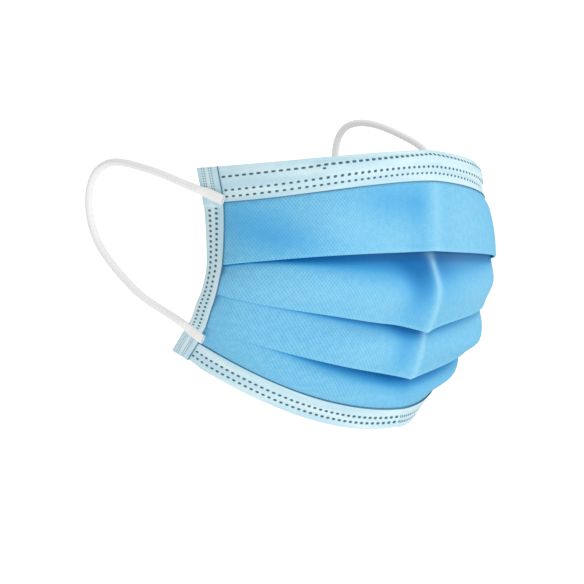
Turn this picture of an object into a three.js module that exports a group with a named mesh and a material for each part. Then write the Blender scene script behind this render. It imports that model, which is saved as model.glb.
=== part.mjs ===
// A pleated, three-ply surgical face mask in the open form that it has on a face.
// Millimetres. X runs across the face, -Y is the outer side, +Y the wearer's side, +Z is up.
// The origin is the seat on the bridge of the nose: the inner side of the top edge, at its middle.
import * as THREE from 'three';

// ---- driving sizes ------------------------------------------------------------------------------
const HALF_WIDTH = 90;          // from the middle crease to a side edge, measured along the cloth
const WALL = 1.0;               // wall of every cloth piece
const GAP = 0.3;                // air between neighbouring pieces and between folded layers
const LAYER = WALL + GAP;       // pitch of folded layers at the sides, where they are pressed flat
const OPENING = 0.7;            // extra pitch of the layers at the middle, where the pleats open
const BINDING_WIDTH = 8.5;      // the folded tape along each side edge
const HEM_TURN = 4;             // how far a hem laps over the edge on to the inner side
const WIRE = { halfLength: 45.5, width: 3.0, thickness: 0.6, fromTop: 2.6 };
const WIRE_LIFT = { clear: 5, fade: 5, slope: 1 };   // the hem's lift past the wire's ends, and below it
const CORD = { diameter: 2.6, sides: 8, steps: 44 };
const STEPS = { body: 38, hem: 32, wire: 24, binding: 22 };   // sections along each loft

// ---- the rows of the form -----------------------------------------------------------------------
// Each row is a line across the mask, alike on both sides of the middle crease. It leaves the crease
// at [0, midY, midZ] and ends on the side edge at [endX, endY, endZ]. The turns are the angles in the
// XY plane at its two ends, in degrees, and the rises are its slopes in Z there.
const row = (name, [midY, midZ], [endX, endY, endZ], [midTurn, endTurn], [midRise, endRise]) => (
  { name, midY, midZ, endX, endY, endZ, midTurn, endTurn, midRise, endRise }
);
const ROWS = [
  //   name       middle Y, Z      side edge X, Y, Z     turns      rises
  row('top', [-0.3, 6.0], [63.5, 47.7, -0.7], [-3, 87], [-0.04, -0.03]),
  row('hem', [-1.6, -4.6], [64.0, 44.4, -12.6], [-2, 90], [-0.01, -0.02]),
  row('pleat1', [-2.3, -27.9], [65.8, 41.5, -33.1], [2, 107], [-0.02, -0.09]),
  row('mouth', [-3.9, -42.5], [65.6, 42.5, -37.0], [3, 111], [0.10, 0.02]),
  row('pleat2', [1.4, -55.2], [64.6, 44.6, -40.6], [3, 111], [0.18, 0.16]),
  row('lip', [4.5, -63.3], [63.0, 48.6, -45.4], [-3, 108], [0.17, 0.21]),
  row('pleat3', [7.9, -71.4], [61.0, 52.9, -50.6], [0, 105], [0.16, 0.27]),
  row('jaw', [9.9, -76.4], [58.1, 57.5, -53.0], [-4, 104], [0.06, 0.32]),
  row('chin', [12.0, -81.5], [54.8, 62.1, -55.4], [12, 97], [-0.04, 0.39]),
  row('bottom', [13.3, -87.0], [52.2, 69.1, -61.6], [22, 98], [-0.14, 0.35]),
];
const MID_PULL = 27.8;          // how far each turn holds, as the handle of a cubic curve
const END_PULL = 36;

// The pleats all face down. A pleat's lap is how far its hidden fold reaches up behind its edge.
const PLEATS = [
  { row: 'pleat1', midLap: 6.5, sideLap: 10 },
  { row: 'pleat2', midLap: 5.0, sideLap: 5 },
  { row: 'pleat3', midLap: 5.0, sideLap: 7 },
];

// The routes of the elastic ear loops, from the cut end on the upper binding to the lower one.
const LOOP_RIGHT = [
  [-66.3, 35.1, -11.2], [-66.8, 39.7, -9.6], [-67.2, 43.8, -8.2], [-67, 52, -5.5], [-66.2, 61.5, -2.4],
  [-65.5, 71.4, 0.1], [-64.8, 80, 1.8], [-64, 87.9, 2], [-63.2, 94.9, -0.9], [-62.6, 98.7, -6.7],
  [-62.2, 99.4, -13.6], [-62, 97.6, -20.8], [-62, 93.7, -27.2], [-62, 86.6, -34.2], [-62.1, 77, -41.6],
  [-62.5, 67.5, -47.9], [-63, 59.2, -52.8], [-62.7, 53.6, -56.1], [-61.8, 48.7, -58.6],
];
const LOOP_LEFT = [
  [66.3, 35.1, -11.2], [67, 39.7, -7.2], [67.3, 44.3, 1.5], [67, 48.9, 8.4], [66.7, 53.1, 11.6],
  [66.2, 59.1, 14.7], [65.4, 66.6, 18], [64.5, 73.6, 20.3], [63.6, 80.1, 21], [62.8, 85.6, 19.6],
  [62.3, 88.9, 15.6], [61.9, 90.1, 8.5], [61.8, 88.7, 0], [61.7, 85.1, -9], [61.8, 80.5, -18],
  [61.9, 75.1, -27], [62.2, 68.9, -36], [63, 62.3, -45], [63.2, 57.7, -52], [62.6, 53.3, -56.2],
  [61.8, 48.7, -58.6],
];

// ---- the form -----------------------------------------------------------------------------------
const RADIANS = Math.PI / 180;

function rowCurve({ midY, midZ, endX, endY, endZ, midTurn, endTurn, midRise, endRise }) {
  const start = new THREE.Vector3(0, midY, midZ);
  const end = new THREE.Vector3(endX, endY, endZ);
  const heading = (turn, rise) => (
    new THREE.Vector3(Math.cos(turn * RADIANS), Math.sin(turn * RADIANS), rise)
  );
  return new THREE.CubicBezierCurve3(
    start,
    start.clone().addScaledVector(heading(midTurn, midRise), MID_PULL),
    end.clone().addScaledVector(heading(endTurn, endRise), -END_PULL),
    end,
  );
}

const rowCurves = ROWS.map(rowCurve);
const rowIndex = Object.fromEntries(ROWS.map(({ name }, index) => [name, index]));
const SPAN_STEPS = 8;           // samples between one row and the next

// A station is the line down the mask at `across`, from -1 to 1: its points and their distances
// from the top edge, and the distance at which it passes each row.
const stations = new Map();
function station(across) {
  if (stations.has(across)) return stations.get(across);
  const points = rowCurves.map((curve) => {
    const point = curve.getPointAt(Math.abs(across));
    if (across < 0) point.x = -point.x;
    return point;
  });
  const curve = new THREE.CatmullRomCurve3(points, false, 'centripetal');
  const line = curve.getPoints(SPAN_STEPS * (points.length - 1));
  const down = [0];
  for (let i = 1; i < line.length; i += 1) down.push(down[i - 1] + line[i].distanceTo(line[i - 1]));
  const rowDown = points.map((point, index) => down[index * SPAN_STEPS]);
  const result = { line, down, rowDown, length: down[down.length - 1] };
  stations.set(across, result);
  return result;
}

function pointDown(across, distance) {
  const { line, down } = station(across);
  let i = 1;
  while (i < down.length - 1 && down[i] < distance) i += 1;
  const share = (distance - down[i - 1]) / (down[i] - down[i - 1]);
  return line[i - 1].clone().lerp(line[i], share);
}

// The point at `distance` down the station, moved `depth` outwards from the mask's outer face.
const PROBE = { across: 0.012, down: 1.5 };
function place(across, distance, depth) {
  const right = Math.min(across + PROBE.across, 1);
  const left = Math.max(across - PROBE.across, -1);
  const share = distance / station(across).length;
  const atShare = (at) => pointDown(at, share * station(at).length);
  const alongRow = atShare(right).sub(atShare(left));
  const above = pointDown(across, distance - PROBE.down);
  const alongStation = pointDown(across, distance + PROBE.down).sub(above);
  const outward = alongStation.cross(alongRow).normalize();
  return pointDown(across, distance).addScaledVector(outward, depth);
}

const smooth = (value) => {
  const share = Math.min(Math.max(value, 0), 1);
  return share * share * (3 - 2 * share);
};

// ---- building solids ----------------------------------------------------------------------------
// A wall's section is a line of [distance, depth] pairs with a thickness, closed round both sides.
function thicken(line, thickness) {
  const half = thickness / 2;
  const sides = { near: [], far: [] };
  line.forEach(([x, y], i) => {
    const before = line[Math.max(i - 1, 0)];
    const after = line[Math.min(i + 1, line.length - 1)];
    const unit = (from, to) => {
      const length = Math.hypot(to[0] - from[0], to[1] - from[1]);
      return [(to[0] - from[0]) / length, (to[1] - from[1]) / length];
    };
    const arrive = i > 0 ? unit(before, [x, y]) : unit([x, y], after);
    const leave = i < line.length - 1 ? unit([x, y], after) : arrive;
    const normal = [-(arrive[1] + leave[1]), arrive[0] + leave[0]];
    const reach = half * 2 / (normal[0] ** 2 + normal[1] ** 2);
    sides.near.push([x + normal[0] * reach, y + normal[1] * reach]);
    sides.far.push([x - normal[0] * reach, y - normal[1] * reach]);
  });
  return [...sides.near, ...sides.far.reverse()];
}

// Joins closed rings of points, one ring a station, into one closed body with flat ends.
function loft(rings) {
  const count = rings[0].length;
  const positions = rings.flat().flatMap((point) => [point.x, point.y, point.z]);
  const index = [];
  for (let ring = 0; ring < rings.length - 1; ring += 1) {
    for (let i = 0; i < count; i += 1) {
      const a = ring * count + i;
      const b = ring * count + (i + 1) % count;
      index.push(a, a + count, b, b, a + count, b + count);
    }
  }
  // An end is a strip between the two sides of the wall, whose points pair up from its two ends.
  const last = (rings.length - 1) * count;
  for (let i = 0; i < count / 2 - 1; i += 1) {
    const [a, b, c, d] = [i, i + 1, count - 2 - i, count - 1 - i];
    index.push(a, b, c, a, c, d);
    index.push(last + a, last + c, last + b, last + a, last + d, last + c);
  }
  const geometry = new THREE.BufferGeometry();
  geometry.setAttribute('position', new THREE.Float32BufferAttribute(positions, 3));
  geometry.setIndex(index);
  if (signedVolume(positions, index) < 0) index.reverse();
  geometry.setIndex(index);
  geometry.computeVertexNormals();
  return geometry;
}

function signedVolume(positions, index) {
  const corner = (i) => new THREE.Vector3().fromArray(positions, 3 * i);
  let sum = 0;
  for (let i = 0; i < index.length; i += 3) {
    sum += corner(index[i]).dot(corner(index[i + 1]).cross(corner(index[i + 2])));
  }
  return sum;
}

function spread(from, to, steps) {
  return Array.from({ length: steps + 1 }, (_, i) => from + ((to - from) * i) / steps);
}

// ---- the pieces ---------------------------------------------------------------------------------
const BODY_EDGE = 1 - LAYER / HALF_WIDTH;            // the body stops inside the binding's fold
const HEM_EDGE = 1 - (BINDING_WIDTH + GAP) / HALF_WIDTH;
const PANEL_SHARES = [0.12, 0.3, 0.5, 0.75];         // extra points down each panel
const RISE_SHARE = 0.7;                              // how much of a panel climbs out of its pleat

// The zigzag of the pleated panel at one station.
function bodyLine(across) {
  const { rowDown, length } = station(across);
  const toSide = Math.abs(across);
  const pitch = LAYER + OPENING * (1 - smooth(toSide));
  const line = [];
  let start = { at: LAYER, depth: 0, rise: 0 };
  for (const pleat of [...PLEATS, null]) {
    const edge = pleat ? rowDown[rowIndex[pleat.row]] - WALL / 2 : length - LAYER;
    const lap = pleat ? pleat.midLap + (pleat.sideLap - pleat.midLap) * toSide : 0;
    const fold = edge - lap + WALL;
    const risen = Math.min(RISE_SHARE * (edge - start.rise), fold - start.rise);
    const { depth: sunk, rise } = start;
    const depthAt = (at) => -sunk * (1 - smooth((at - rise) / risen));
    line.push([start.at, depthAt(start.at)]);
    if (pleat !== PLEATS[0]) line.push([rise, depthAt(rise)]);
    for (const share of PANEL_SHARES) {
      const at = rise + share * (edge - rise);
      line.push([at, depthAt(at)]);
    }
    line.push([edge, 0]);
    if (pleat) line.push([edge, -pitch], [fold, -pitch]);
    start = { at: fold, depth: 2 * pitch, rise: edge + WALL / 2 };
  }
  return line.map(([at, depth]) => [at, depth - WALL / 2]);
}

function acrossLoft(edge, steps, sectionAt) {
  return loft(spread(-edge, edge, steps).map((across) => (
    sectionAt(across).map(([at, depth]) => place(across, at, depth))
  )));
}

const maskBody = acrossLoft(BODY_EDGE, STEPS.body, (across) => thicken(bodyLine(across), WALL));

// How far the nose wire lifts the hem above it.
const wireLift = (across) => {
  const beyond = (Math.abs(across) * HALF_WIDTH - WIRE.halfLength - WIRE_LIFT.clear) / WIRE_LIFT.fade;
  return (WIRE.thickness + GAP) * (1 - smooth(beyond));
};

function topHemLine(across) {
  const face = GAP + WALL / 2;
  const back = -WALL - GAP - WALL / 2;
  const lower = station(across).rowDown[rowIndex.hem];
  const lift = wireLift(across);
  const under = WIRE.fromTop + WIRE.width + LAYER;
  return [
    [lower, face], [under + WIRE_LIFT.slope, face], [under, face + lift],
    [WALL / 2, face + lift], [WALL / 2, back], [HEM_TURN, back],
  ];
}

function bottomHemLine(across) {
  const { rowDown, length } = station(across);
  const face = GAP + WALL / 2;
  const back = -WALL - GAP - WALL / 2;
  const edge = length - WALL / 2;
  return [[rowDown[rowIndex.chin], face], [edge, face], [edge, back], [length - HEM_TURN, back]];
}

const topHem = acrossLoft(HEM_EDGE, STEPS.hem, (across) => thicken(topHemLine(across), WALL));
const bottomHem = acrossLoft(HEM_EDGE, STEPS.hem, (across) => thicken(bottomHemLine(across), WALL));

const noseWire = acrossLoft(WIRE.halfLength / HALF_WIDTH, STEPS.wire, () => {
  const middle = GAP + WIRE.thickness / 2;
  return thicken([[WIRE.fromTop, middle], [WIRE.fromTop + WIRE.width, middle]], WIRE.thickness);
});

// A side binding is a tape folded round the side edge: its section runs across, and it is lofted down.
function sideBinding(side) {
  const face = GAP + WALL / 2;
  const back = -3 * LAYER - WALL / 2;
  const inner = 1 - BINDING_WIDTH / HALF_WIDTH;
  const outer = 1 - WALL / 2 / HALF_WIDTH;
  const section = thicken([
    [inner * HALF_WIDTH, face], [outer * HALF_WIDTH, face],
    [outer * HALF_WIDTH, back], [inner * HALF_WIDTH, back],
  ], WALL);
  return loft(spread(0, 1, STEPS.binding).map((share) => section.map(([across, depth]) => {
    const at = side * across / HALF_WIDTH;
    return place(at, share * station(at).length, depth);
  })));
}

function earLoop(route) {
  const path = new THREE.CatmullRomCurve3(route.map((point) => new THREE.Vector3(...point)));
  const section = new THREE.Shape();
  for (let i = 0; i < CORD.sides; i += 1) {
    const angle = (2 * Math.PI * i) / CORD.sides;
    const [x, y] = [Math.cos(angle) * CORD.diameter / 2, Math.sin(angle) * CORD.diameter / 2];
    if (i === 0) section.moveTo(x, y);
    else section.lineTo(x, y);
  }
  section.closePath();
  return new THREE.ExtrudeGeometry(section, { steps: CORD.steps, extrudePath: path });
}

// ---- the assembly -------------------------------------------------------------------------------
const MATERIALS = {
  blueCloth: { color: 0x6ebbe6, roughness: 0.85, metalness: 0 },
  paleCloth: { color: 0xcfe4ec, roughness: 0.8, metalness: 0 },
  elastic: { color: 0xf7f7f5, roughness: 0.9, metalness: 0 },
  wire: { color: 0xe8ecee, roughness: 0.5, metalness: 0 },
};

function piece(name, geometry, finish) {
  const mesh = new THREE.Mesh(geometry, new THREE.MeshStandardMaterial(MATERIALS[finish]));
  mesh.name = name;
  return mesh;
}

const mask = new THREE.Group();
mask.add(
  piece('mask_body', maskBody, 'blueCloth'),
  piece('top_hem', topHem, 'paleCloth'),
  piece('bottom_hem', bottomHem, 'paleCloth'),
  piece('nose_wire', noseWire, 'wire'),
  piece('side_binding_right', sideBinding(-1), 'paleCloth'),
  piece('side_binding_left', sideBinding(1), 'paleCloth'),
  piece('ear_loop_right', earLoop(LOOP_RIGHT), 'elastic'),
  piece('ear_loop_left', earLoop(LOOP_LEFT), 'elastic'),
);

export default mask;
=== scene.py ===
"""A pleated surgical face mask, open as it is worn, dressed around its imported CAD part.

Metres, in the part's own frame: X runs across the face, -Y is the outer side, +Z is up. On the
cloth itself a place is (across, down, depth): the distance from the middle crease, the distance
from the top edge, and the height above the mask's outer face.
"""

import math

import bpy
import numpy as np
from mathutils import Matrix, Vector


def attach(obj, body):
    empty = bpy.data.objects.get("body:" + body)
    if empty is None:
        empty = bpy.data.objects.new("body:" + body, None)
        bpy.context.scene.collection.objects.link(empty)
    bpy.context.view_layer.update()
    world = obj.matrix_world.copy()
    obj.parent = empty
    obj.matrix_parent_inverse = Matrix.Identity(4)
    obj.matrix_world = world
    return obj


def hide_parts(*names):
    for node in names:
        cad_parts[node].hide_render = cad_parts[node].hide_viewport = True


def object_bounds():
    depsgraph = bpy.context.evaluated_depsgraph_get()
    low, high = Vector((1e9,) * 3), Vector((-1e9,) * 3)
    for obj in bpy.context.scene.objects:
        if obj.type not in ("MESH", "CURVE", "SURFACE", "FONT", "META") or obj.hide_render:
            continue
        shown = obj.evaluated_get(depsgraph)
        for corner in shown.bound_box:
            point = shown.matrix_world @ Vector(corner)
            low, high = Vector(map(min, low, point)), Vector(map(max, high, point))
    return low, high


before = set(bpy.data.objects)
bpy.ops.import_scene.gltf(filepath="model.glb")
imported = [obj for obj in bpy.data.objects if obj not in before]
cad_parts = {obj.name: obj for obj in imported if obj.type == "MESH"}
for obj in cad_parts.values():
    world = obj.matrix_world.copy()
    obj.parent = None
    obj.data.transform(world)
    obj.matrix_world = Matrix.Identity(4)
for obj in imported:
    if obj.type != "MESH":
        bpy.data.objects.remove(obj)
cad_low, cad_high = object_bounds()

MM = 0.001

# ---- driving sizes ---------------------------------------------------------------------------------
# The sizes down to the cord, the rows, pulls and laps, and the loops' routes are as in the CAD source.
HALF_WIDTH = 90 * MM
BINDING_WIDTH = 8.5 * MM
HEM_TURN = 4 * MM
WIRE = {"half_length": 45.5 * MM, "width": 3.0 * MM, "from_top": 2.6 * MM}
CORD_DIAMETER = 2.6 * MM

# Each row is a line across the mask: its place on the middle crease, its end on the side edge, its
# turns in degrees at the two ends, and its slopes there.
ROWS = [
    # name, middle (y, z), side edge (x, y, z), turns, rises
    ("top", (-0.0003, 0.0060), (0.0635, 0.0477, -0.0007), (-3, 87), (-0.04, -0.03)),
    ("hem", (-0.0016, -0.0046), (0.0640, 0.0444, -0.0126), (-2, 90), (-0.01, -0.02)),
    ("pleat1", (-0.0023, -0.0279), (0.0658, 0.0415, -0.0331), (2, 107), (-0.02, -0.09)),
    ("mouth", (-0.0039, -0.0425), (0.0656, 0.0425, -0.0370), (3, 111), (0.10, 0.02)),
    ("pleat2", (0.0014, -0.0552), (0.0646, 0.0446, -0.0406), (3, 111), (0.18, 0.16)),
    ("lip", (0.0045, -0.0633), (0.0630, 0.0486, -0.0454), (-3, 108), (0.17, 0.21)),
    ("pleat3", (0.0079, -0.0714), (0.0610, 0.0529, -0.0506), (0, 105), (0.16, 0.27)),
    ("jaw", (0.0099, -0.0764), (0.0581, 0.0575, -0.0530), (-4, 104), (0.06, 0.32)),
    ("chin", (0.0120, -0.0815), (0.0548, 0.0621, -0.0554), (12, 97), (-0.04, 0.39)),
    ("bottom", (0.0133, -0.0870), (0.0522, 0.0691, -0.0616), (22, 98), (-0.14, 0.35)),
]
ROW_NAMES = [row[0] for row in ROWS]
MID_PULL = 27.8 * MM
END_PULL = 36 * MM
SPAN_STEPS = 16                        # samples between one row and the next
ROW_SAMPLES = 801                      # along one row

# A pleat's lap is how far its hidden fold reaches up behind its edge.
PLEATS = [
    # row, lap at the middle, lap at the sides, depth of the hidden fold at the middle, and how far
    # below the pleat's edge its painted shade reaches there
    ("pleat1", 6.5 * MM, 10 * MM, 5.2 * MM, 9.0 * MM),
    ("pleat2", 5.0 * MM, 5 * MM, 3.8 * MM, 3.2 * MM),
    ("pleat3", 5.0 * MM, 7 * MM, 4.4 * MM, 5.2 * MM),
]
SIDE_FOLD_DEPTH = 1.0 * MM             # depth of each hidden fold where the sides are pressed flat
SIDE_SHADE = 0.6 * MM                  # reach of each pleat's painted shade at the sides
FOLD_RADIUS = 0.25 * MM
BODY_THICK = 0.36 * MM
HEM_THICK = 0.30 * MM
TAPE_THICK = 0.34 * MM
SEAT = 0.06 * MM                       # air between one cloth and the next

# The routes of the elastic ear loops, from the cut end on the upper binding to the lower one.
LOOP_RIGHT = [
    (-0.0663, 0.0351, -0.0112), (-0.0668, 0.0397, -0.0096), (-0.0672, 0.0438, -0.0082),
    (-0.0670, 0.0520, -0.0055), (-0.0662, 0.0615, -0.0024), (-0.0655, 0.0714, 0.0001),
    (-0.0648, 0.0800, 0.0018), (-0.0640, 0.0879, 0.0020), (-0.0632, 0.0949, -0.0009),
    (-0.0626, 0.0987, -0.0067), (-0.0622, 0.0994, -0.0136), (-0.0620, 0.0976, -0.0208),
    (-0.0620, 0.0937, -0.0272), (-0.0620, 0.0866, -0.0342), (-0.0621, 0.0770, -0.0416),
    (-0.0625, 0.0675, -0.0479), (-0.0630, 0.0592, -0.0528), (-0.0627, 0.0536, -0.0561),
    (-0.0618, 0.0487, -0.0586),
]
LOOP_LEFT = [
    (0.0663, 0.0351, -0.0112), (0.0670, 0.0397, -0.0072), (0.0673, 0.0443, 0.0015),
    (0.0670, 0.0489, 0.0084), (0.0667, 0.0531, 0.0116), (0.0662, 0.0591, 0.0147),
    (0.0654, 0.0666, 0.0180), (0.0645, 0.0736, 0.0203), (0.0636, 0.0801, 0.0210),
    (0.0628, 0.0856, 0.0196), (0.0623, 0.0889, 0.0156), (0.0619, 0.0901, 0.0085),
    (0.0618, 0.0887, 0.0000), (0.0617, 0.0851, -0.0090), (0.0618, 0.0805, -0.0180),
    (0.0619, 0.0751, -0.0270), (0.0622, 0.0689, -0.0360), (0.0630, 0.0623, -0.0450),
    (0.0632, 0.0577, -0.0520), (0.0626, 0.0533, -0.0562), (0.0618, 0.0487, -0.0586),
]


def smooth(value):
    share = np.clip(value, 0, 1)
    return share * share * (3 - 2 * share)


def mix(a, b, share):
    return a + (b - a) * share


# ---- camera ----------------------------------------------------------------------------------------
CAMERA_PLACE = Vector((-0.5951, -0.4366, -0.0274))
CAMERA_AIM = Vector((-0.0003, 0.0599, -0.0426))
LENS = 134.4
SENSOR = 36.0


def add_camera():
    data = bpy.data.cameras.new("camera")
    data.lens = LENS
    data.sensor_width = SENSOR
    data.clip_start = 0.01
    data.clip_end = 20
    camera = bpy.data.objects.new("camera", data)
    camera.location = CAMERA_PLACE
    camera.rotation_euler = (CAMERA_AIM - CAMERA_PLACE).to_track_quat("-Z", "Y").to_euler()
    bpy.context.scene.collection.objects.link(camera)
    bpy.context.scene.camera = camera


# ---- the form --------------------------------------------------------------------------------------
def row_points(row, across):
    """The points of one row at these distances from the middle crease, which may be negative."""
    _, (mid_y, mid_z), end, turns, rises = row
    start, end = np.array([0, mid_y, mid_z]), np.array(end)
    pulls = []
    for turn, rise in zip(turns, rises):
        angle = math.radians(turn)
        pulls.append(np.array([math.cos(angle), math.sin(angle), rise]))
    handles = [start, start + pulls[0] * MID_PULL, end - pulls[1] * END_PULL, end]
    t = np.linspace(0, 1, ROW_SAMPLES)[:, None]
    weights = [(1 - t) ** 3, 3 * t * (1 - t) ** 2, 3 * t * t * (1 - t), t ** 3]
    curve = sum(weight * handle for weight, handle in zip(weights, handles))
    along = np.concatenate([[0], np.cumsum(np.linalg.norm(np.diff(curve, axis=0), axis=1))])
    at = np.abs(across) / HALF_WIDTH * along[-1]
    points = np.stack([np.interp(at, along, curve[:, k]) for k in range(3)], axis=-1)
    points[:, 0] *= np.where(across < 0, -1, 1)
    return points


def through(points, steps):
    """A centripetal Catmull-Rom curve through points[i], each an array of places, steps to a span."""
    ends = [2 * points[0] - points[1], 2 * points[-1] - points[-2]]
    points = np.concatenate([ends[:1], points, ends[1:]])
    gaps = np.sqrt(np.linalg.norm(np.diff(points, axis=0), axis=-1))[..., None]
    curve = [points[1][None]]
    for i in range(1, len(points) - 2):
        before, a, b, after = points[i - 1 : i + 3]
        g0, g1, g2 = gaps[i - 1 : i + 2]
        leave = ((a - before) / g0 - (b - before) / (g0 + g1) + (b - a) / g1) * g1
        arrive = ((b - a) / g1 - (after - a) / (g1 + g2) + (after - b) / g2) * g1
        t = (np.arange(1, steps + 1) / steps).reshape(-1, *[1] * a.ndim)
        curve.append(
            (2 * t ** 3 - 3 * t * t + 1) * a + (t ** 3 - 2 * t * t + t) * leave
            + (3 * t * t - 2 * t ** 3) * b + (t ** 3 - t * t) * arrive
        )
    return np.concatenate(curve)


def grid_normals(grid):
    """Unit normals of a grid of points, across its first axis and down its second."""
    normal = np.cross(np.gradient(grid, axis=1), np.gradient(grid, axis=0))
    return normal / np.linalg.norm(normal, axis=-1, keepdims=True)


KEEL = {"width": 5.0 * MM, "round": 0.3 * MM}
KEEL_HEIGHTS = [
    # share of the way down the middle, height of the pressed crease
    (0.0, 0.1 * MM), (0.12, 0.4 * MM), (0.30, 1.2 * MM), (0.42, 0.8 * MM), (0.50, 0.6 * MM),
    (0.66, 1.3 * MM), (0.82, 0.9 * MM), (0.93, 0.4 * MM), (1.0, 0.2 * MM),
]
# The cloth's soft dents and swellings. The highest ones puff out the left side.
DENTS = [
    # across, share down, size across, size down, height
    (-58 * MM, 0.26, 13 * MM, 0.10, -1.44 * MM),
    (-40 * MM, 0.22, 12 * MM, 0.09, 1.6 * MM),
    (-30 * MM, 0.33, 10 * MM, 0.05, -0.8 * MM),
    (-17 * MM, 0.24, 7 * MM, 0.14, -1.44 * MM),
    (-45 * MM, 0.47, 14 * MM, 0.05, 0.96 * MM),
    (-22 * MM, 0.52, 9 * MM, 0.05, 1.12 * MM),
    (-13 * MM, 0.58, 5 * MM, 0.08, -1.12 * MM),
    (-48 * MM, 0.64, 9 * MM, 0.04, -0.96 * MM),
    (-24 * MM, 0.70, 8 * MM, 0.04, 0.96 * MM),
    (-36 * MM, 0.86, 12 * MM, 0.05, 1.12 * MM),
    (-12 * MM, 0.88, 8 * MM, 0.05, -0.96 * MM),
    (16 * MM, 0.24, 8 * MM, 0.10, -0.6 * MM),
    (46 * MM, 0.24, 17 * MM, 0.11, 2.0 * MM),
    (70 * MM, 0.24, 9 * MM, 0.09, -0.8 * MM),
    (28 * MM, 0.50, 11 * MM, 0.06, 0.7 * MM),
    (62 * MM, 0.56, 10 * MM, 0.06, -0.8 * MM),
    (50 * MM, 0.62, 12 * MM, 0.03, 1.4 * MM),
    (44 * MM, 0.685, 17 * MM, 0.035, 3.4 * MM),
    (46 * MM, 0.83, 15 * MM, 0.045, 2.8 * MM),
]
HEM_SHARES = (0.10, 0.93)              # past these the welded layers lie smooth
HEM_FADE = 0.07
DENT_SIDE = 79 * MM                    # the dents end here, towards the bindings
DENT_SIDE_FADE = 12 * MM


def relief(across, share):
    """The height of the pressed middle crease and of the cloth's soft dents."""
    heights = np.interp(share, *zip(*KEEL_HEIGHTS))
    ridge = np.exp(-(np.hypot(across, KEEL["round"]) - KEEL["round"]) / KEEL["width"])
    height = heights * ridge
    soft = smooth((share - HEM_SHARES[0]) / HEM_FADE) * smooth((HEM_SHARES[1] - share) / HEM_FADE)
    soft = soft * smooth((DENT_SIDE - np.abs(across)) / DENT_SIDE_FADE)
    for at_across, at_share, size_across, size_share, rise in DENTS:
        apart = ((across - at_across) / size_across) ** 2 + ((share - at_share) / size_share) ** 2
        height = height + rise * soft * np.exp(-apart / 2)
    return height


class Form:
    """The mask's outer face, as a fine grid over the distance across and the share down."""

    def __init__(self, across_steps=720, share_steps=320):
        across = np.linspace(-HALF_WIDTH, HALF_WIDTH, across_steps + 1)
        share = np.linspace(0, 1, share_steps + 1)
        lines = through(np.stack([row_points(row, across) for row in ROWS]), SPAN_STEPS)
        steps = np.linalg.norm(np.diff(lines, axis=0), axis=-1)
        down = np.concatenate([np.zeros((1, len(across))), np.cumsum(steps, axis=0)])
        points = np.empty((len(across), len(share), 3))
        for i in range(len(across)):
            for k in range(3):
                points[i, :, k] = np.interp(share * down[-1, i], down[:, i], lines[:, i, k])
        # Depths are measured square to the smooth form, so that they don't cross under the crease.
        self.normals = grid_normals(points)
        points += self.normals * relief(across[:, None], share[None, :])[..., None]
        self.across, self.share, self.points = across, share, points
        self.lengths = down[-1]
        self.row_downs = down[::SPAN_STEPS]

    def length(self, across):
        return np.interp(across, self.across, self.lengths)

    def row(self, name, across):
        """How far down a row is at these distances across."""
        return np.interp(across, self.across, self.row_downs[ROW_NAMES.index(name)])

    def at(self, across, down, depth):
        """The places at these coordinates on the cloth, which are arrays of one shape."""
        across, down, depth = np.broadcast_arrays(across, down, depth)
        i_at = (across + HALF_WIDTH) / (2 * HALF_WIDTH) * (len(self.across) - 1)
        j_at = down / self.length(across) * (len(self.share) - 1)
        i = np.clip(np.floor(i_at).astype(int), 0, len(self.across) - 2)
        j = np.clip(np.floor(j_at).astype(int), 0, len(self.share) - 2)
        a, b = (i_at - i)[..., None], (j_at - j)[..., None]
        found = []
        for grid in (self.points, self.normals):
            near = mix(grid[i, j], grid[i, j + 1], b)
            far = mix(grid[i + 1, j], grid[i + 1, j + 1], b)
            found.append(mix(near, far, a))
        point, normal = found
        normal = normal / np.linalg.norm(normal, axis=-1, keepdims=True)
        return point + normal * depth[..., None]

    def nearest(self, place):
        """(across, down) of the grid point nearest to a place."""
        apart = np.linalg.norm(self.points - np.array(place), axis=-1)
        i, j = np.unravel_index(int(apart.argmin()), apart.shape)
        return self.across[i], self.share[j] * self.lengths[i]


form = Form()


# ---- building meshes -------------------------------------------------------------------------------
def add_mesh(name, points, faces, materials, indices=None, attributes=()):
    mesh = bpy.data.meshes.new(name)
    mesh.from_pydata(points.reshape(-1, 3).tolist(), [], faces.tolist())
    for material in materials:
        mesh.materials.append(material)
    if indices is not None:
        mesh.polygons.foreach_set("material_index", indices)
    for key, values in dict(attributes).items():
        kind = "FLOAT_VECTOR" if values.shape[-1:] == (3,) else "FLOAT"
        attribute = mesh.attributes.new(key, kind, "POINT")
        attribute.data.foreach_set("vector" if kind == "FLOAT_VECTOR" else "value", values.ravel())
    mesh.polygons.foreach_set("use_smooth", [True] * len(mesh.polygons))
    mesh.update()
    piece = bpy.data.objects.new(name, mesh)
    bpy.context.scene.collection.objects.link(piece)
    return piece


def volume(points, faces):
    a, b, c, d = (points.reshape(-1, 3)[faces[:, k]] for k in range(4))
    return float((a * np.cross(b, c) + a * np.cross(c, d)).sum())


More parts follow.
